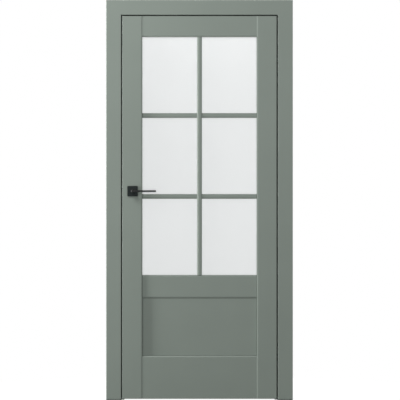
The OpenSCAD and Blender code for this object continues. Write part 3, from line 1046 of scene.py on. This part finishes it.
@dataclass
class Glazing:
    """The frosted pane, its gasket and the bars on both faces."""

    panes: list[str] = field(default_factory=lambda: ["pane"])
    gaskets: list[str] = field(default_factory=lambda: ["glazing_gasket"])
    bars: list[str] = field(
        default_factory=lambda: [
            f"{face}_{bar}"
            for face in ("front", "back")
            for bar in ("upright_bar", "cross_bar_1", "cross_bar_2", "cross_bar_3", "cross_bar_4")
        ]
    )

    def dress(self) -> None:
        """Paints the bars and dresses the pane and its gasket."""
        dress(self.bars, SAGE_PAINT)
        dress(self.panes, WHITE_GLASS)
        dress(self.gaskets, BLACK_RUBBER)


@dataclass
class Latch:
    """The mortice latch and its strike plate."""

    dark: list[str] = field(
        default_factory=lambda: ["latch_faceplate", "latch_bolt", "latch_follower", "strike_plate"]
    )
    bright: list[str] = field(default_factory=lambda: ["latch_case"])
    spring: CoilSpring = field(
        default_factory=lambda: CoilSpring(
            "latch_spring", "leaf", "plain_steel", BRIGHT_STEEL, "latch_slide"
        )
    )
    screws: list[CrossScrews] = field(
        default_factory=lambda: [
            CrossScrews("faceplate_screws", "leaf", "dark_metal", Facing.LOCK_SIDE, DARK_STEEL),
            CrossScrews("strike_screws", "frame", "dark_metal", Facing.HINGE_SIDE, DARK_STEEL),
        ]
    )

    def dress(self) -> None:
        """Blackens the bolt and the plates, leaves the case bright, winds the spring and sets the screws."""
        dress(self.dark, DARK_STEEL)
        dress(self.bright, BRIGHT_STEEL)
        self.spring.build()
        for screws in self.screws:
            screws.build()


@dataclass
class Handle:
    """Levers and square roses on both faces, with the spindle between them."""

    roses: list[str] = field(default_factory=lambda: ["front_rose", "back_rose"])
    levers: list[str] = field(default_factory=lambda: ["front_lever", "back_lever"])
    bright: list[str] = field(default_factory=lambda: ["spindle", "rose_bolts"])
    grubs: SocketScrews = field(
        default_factory=lambda: SocketScrews(
            "grub_screws", "handle", "plain_steel", Facing.FLOOR, BRIGHT_STEEL
        )
    )

    def dress(self) -> None:
        """Coats the levers and roses, leaves the works bright and sets the grub screws."""
        dress(self.roses, BLACK_COAT)
        dress(self.levers, SATIN_BLACK)
        dress(self.bright, BRIGHT_STEEL)
        self.grubs.build()


@dataclass
class Hinges:
    """The two concealed hinges."""

    dark: list[str] = field(
        default_factory=lambda: [
            f"{place}_hinge_{half}_{piece}"
            for place in ("upper", "lower")
            for half in ("frame", "leaf")
            for piece in ("case", "arm")
        ]
    )
    bright: list[str] = field(
        default_factory=lambda: ["hinge_frame_pins", "hinge_leaf_pins", "hinge_centre_pins"]
    )
    screws: list[CrossScrews] = field(
        default_factory=lambda: [
            CrossScrews("hinge_frame_screws", "frame", "plain_steel", Facing.LOCK_SIDE, BRIGHT_STEEL),
            CrossScrews("hinge_leaf_screws", "leaf", "plain_steel", Facing.HINGE_SIDE, BRIGHT_STEEL),
        ]
    )

    def dress(self) -> None:
        """Blackens the cases and arms, leaves the pins bright and sets the screws."""
        dress(self.dark, DARK_STEEL)
        dress(self.bright, BRIGHT_STEEL)
        for screws in self.screws:
            screws.build()


@dataclass
class Softbox:
    """One soft studio lamp."""

    name: str
    place: tuple[float, float, float]
    target: tuple[float, float, float]
    size: tuple[float, float]
    power: float

    def build(self) -> None:
        """Hangs the lamp and turns it to its target."""
        lamp = bpy.data.lights.new(self.name, "AREA")
        lamp.shape = "RECTANGLE"
        lamp.size, lamp.size_y = self.size
        lamp.energy = self.power
        holder = bpy.data.objects.new(self.name, lamp)
        holder.location = self.place
        aim = Vector(self.target) - Vector(self.place)
        holder.rotation_euler = aim.to_track_quat("-Z", "Y").to_euler()
        holder.visible_transmission = False
        bpy.context.scene.collection.objects.link(holder)
        LOG.info("lamp %s", self.name)


@dataclass
class Studio:
    """Floor, lamps, surroundings and camera."""

    floor_radius: float = 1.6
    floor_sides: int = 96
    ambient: float = 0.155
    sensor_mm: float = 36.0
    far_limit: float = 100.0
    camera_distance: float = 12.0
    view_depth: float = -0.022
    view_width: float = 2.0740
    view_centre_x: float = 0.0026
    view_centre_z: float = 1.0392
    lamps: list[Softbox] = field(
        default_factory=lambda: [
            Softbox("key", (-1.5, -2.6, 3.8), target=(0.0, 0.0, 1.4), size=(1.3, 1.2), power=59.0),
            Softbox("rake", (-3.6, -0.48, 1.3), target=(0.0, -0.02, 1.1), size=(0.5, 2.4), power=195.0),
            Softbox("fill", (1.8, -5.0, 1.7), target=(0.0, 0.0, 1.1), size=(2.0, 2.0), power=39.0),
            Softbox("back", (0.4, 3.7, 3.8), target=(0.0, 0.0, 1.1), size=(2.4, 2.4), power=150.0),
            Softbox("side", (3.4, 0.9, 1.7), target=(0.45, 0.02, 1.1), size=(1.0, 2.0), power=55.0),
        ]
    )

    def build_floor(self) -> None:
        """Lays a round pale floor."""
        mesh = bpy.data.meshes.new("floor")
        form = bmesh.new()
        bmesh.ops.create_circle(form, cap_ends=True, segments=self.floor_sides, radius=self.floor_radius)
        form.to_mesh(mesh)
        form.free()
        mesh.materials.append(PALE_FLOOR.material())
        floor = bpy.data.objects.new("floor", mesh)
        bpy.context.scene.collection.objects.link(floor)

    def build_surroundings(self) -> None:
        """Makes the surroundings: white to the eye, in metal and through glass, softer as a light."""
        world = bpy.data.worlds.new("studio")
        bpy.context.scene.world = world
        world.use_nodes = True
        tree = world.node_tree
        tree.nodes.clear()
        level = add(
            tree,
            "ShaderNodeMapRange",
            sockets={"To Min": self.ambient, "To Max": 1.0},
            links={"Value": background_rays(tree)},
        )
        sky = add(
            tree,
            "ShaderNodeBackground",
            sockets={"Color": linear(WHITE)},
            links={"Strength": level.outputs["Result"]},
        )
        add(tree, "ShaderNodeOutputWorld", links={"Surface": sky.outputs[0]})

    def build_camera(self) -> None:
        """Sets the camera square on to the door, far enough off that its lines stay parallel."""
        data = bpy.data.cameras.new("camera")
        data.sensor_width = self.sensor_mm
        data.lens = self.sensor_mm * self.camera_distance / self.view_width
        data.clip_end = self.far_limit
        camera = bpy.data.objects.new("camera", data)
        camera.location = (self.view_centre_x, self.view_depth - self.camera_distance, self.view_centre_z)
        camera.rotation_euler = (math.pi / 2, 0.0, 0.0)
        bpy.context.scene.collection.objects.link(camera)
        bpy.context.scene.camera = camera

    def build(self) -> None:
        """Builds the studio."""
        self.build_floor()
        self.build_surroundings()
        for lamp in self.lamps:
            lamp.build()
        self.build_camera()
        bpy.context.scene.view_settings.view_transform = "Standard"


def main() -> None:
    """Builds the studio and dresses the door, sub-assembly by sub-assembly."""
    logging.basicConfig(level=logging.INFO, format="%(message)s")
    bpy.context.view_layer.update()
    Studio().build()
    for part in (DoorFrame(), Leaf(), Glazing(), Latch(), Handle(), Hinges()):
        LOG.info("%s", type(part).__name__)
        part.dress()


if __name__ == "__main__":
    main()
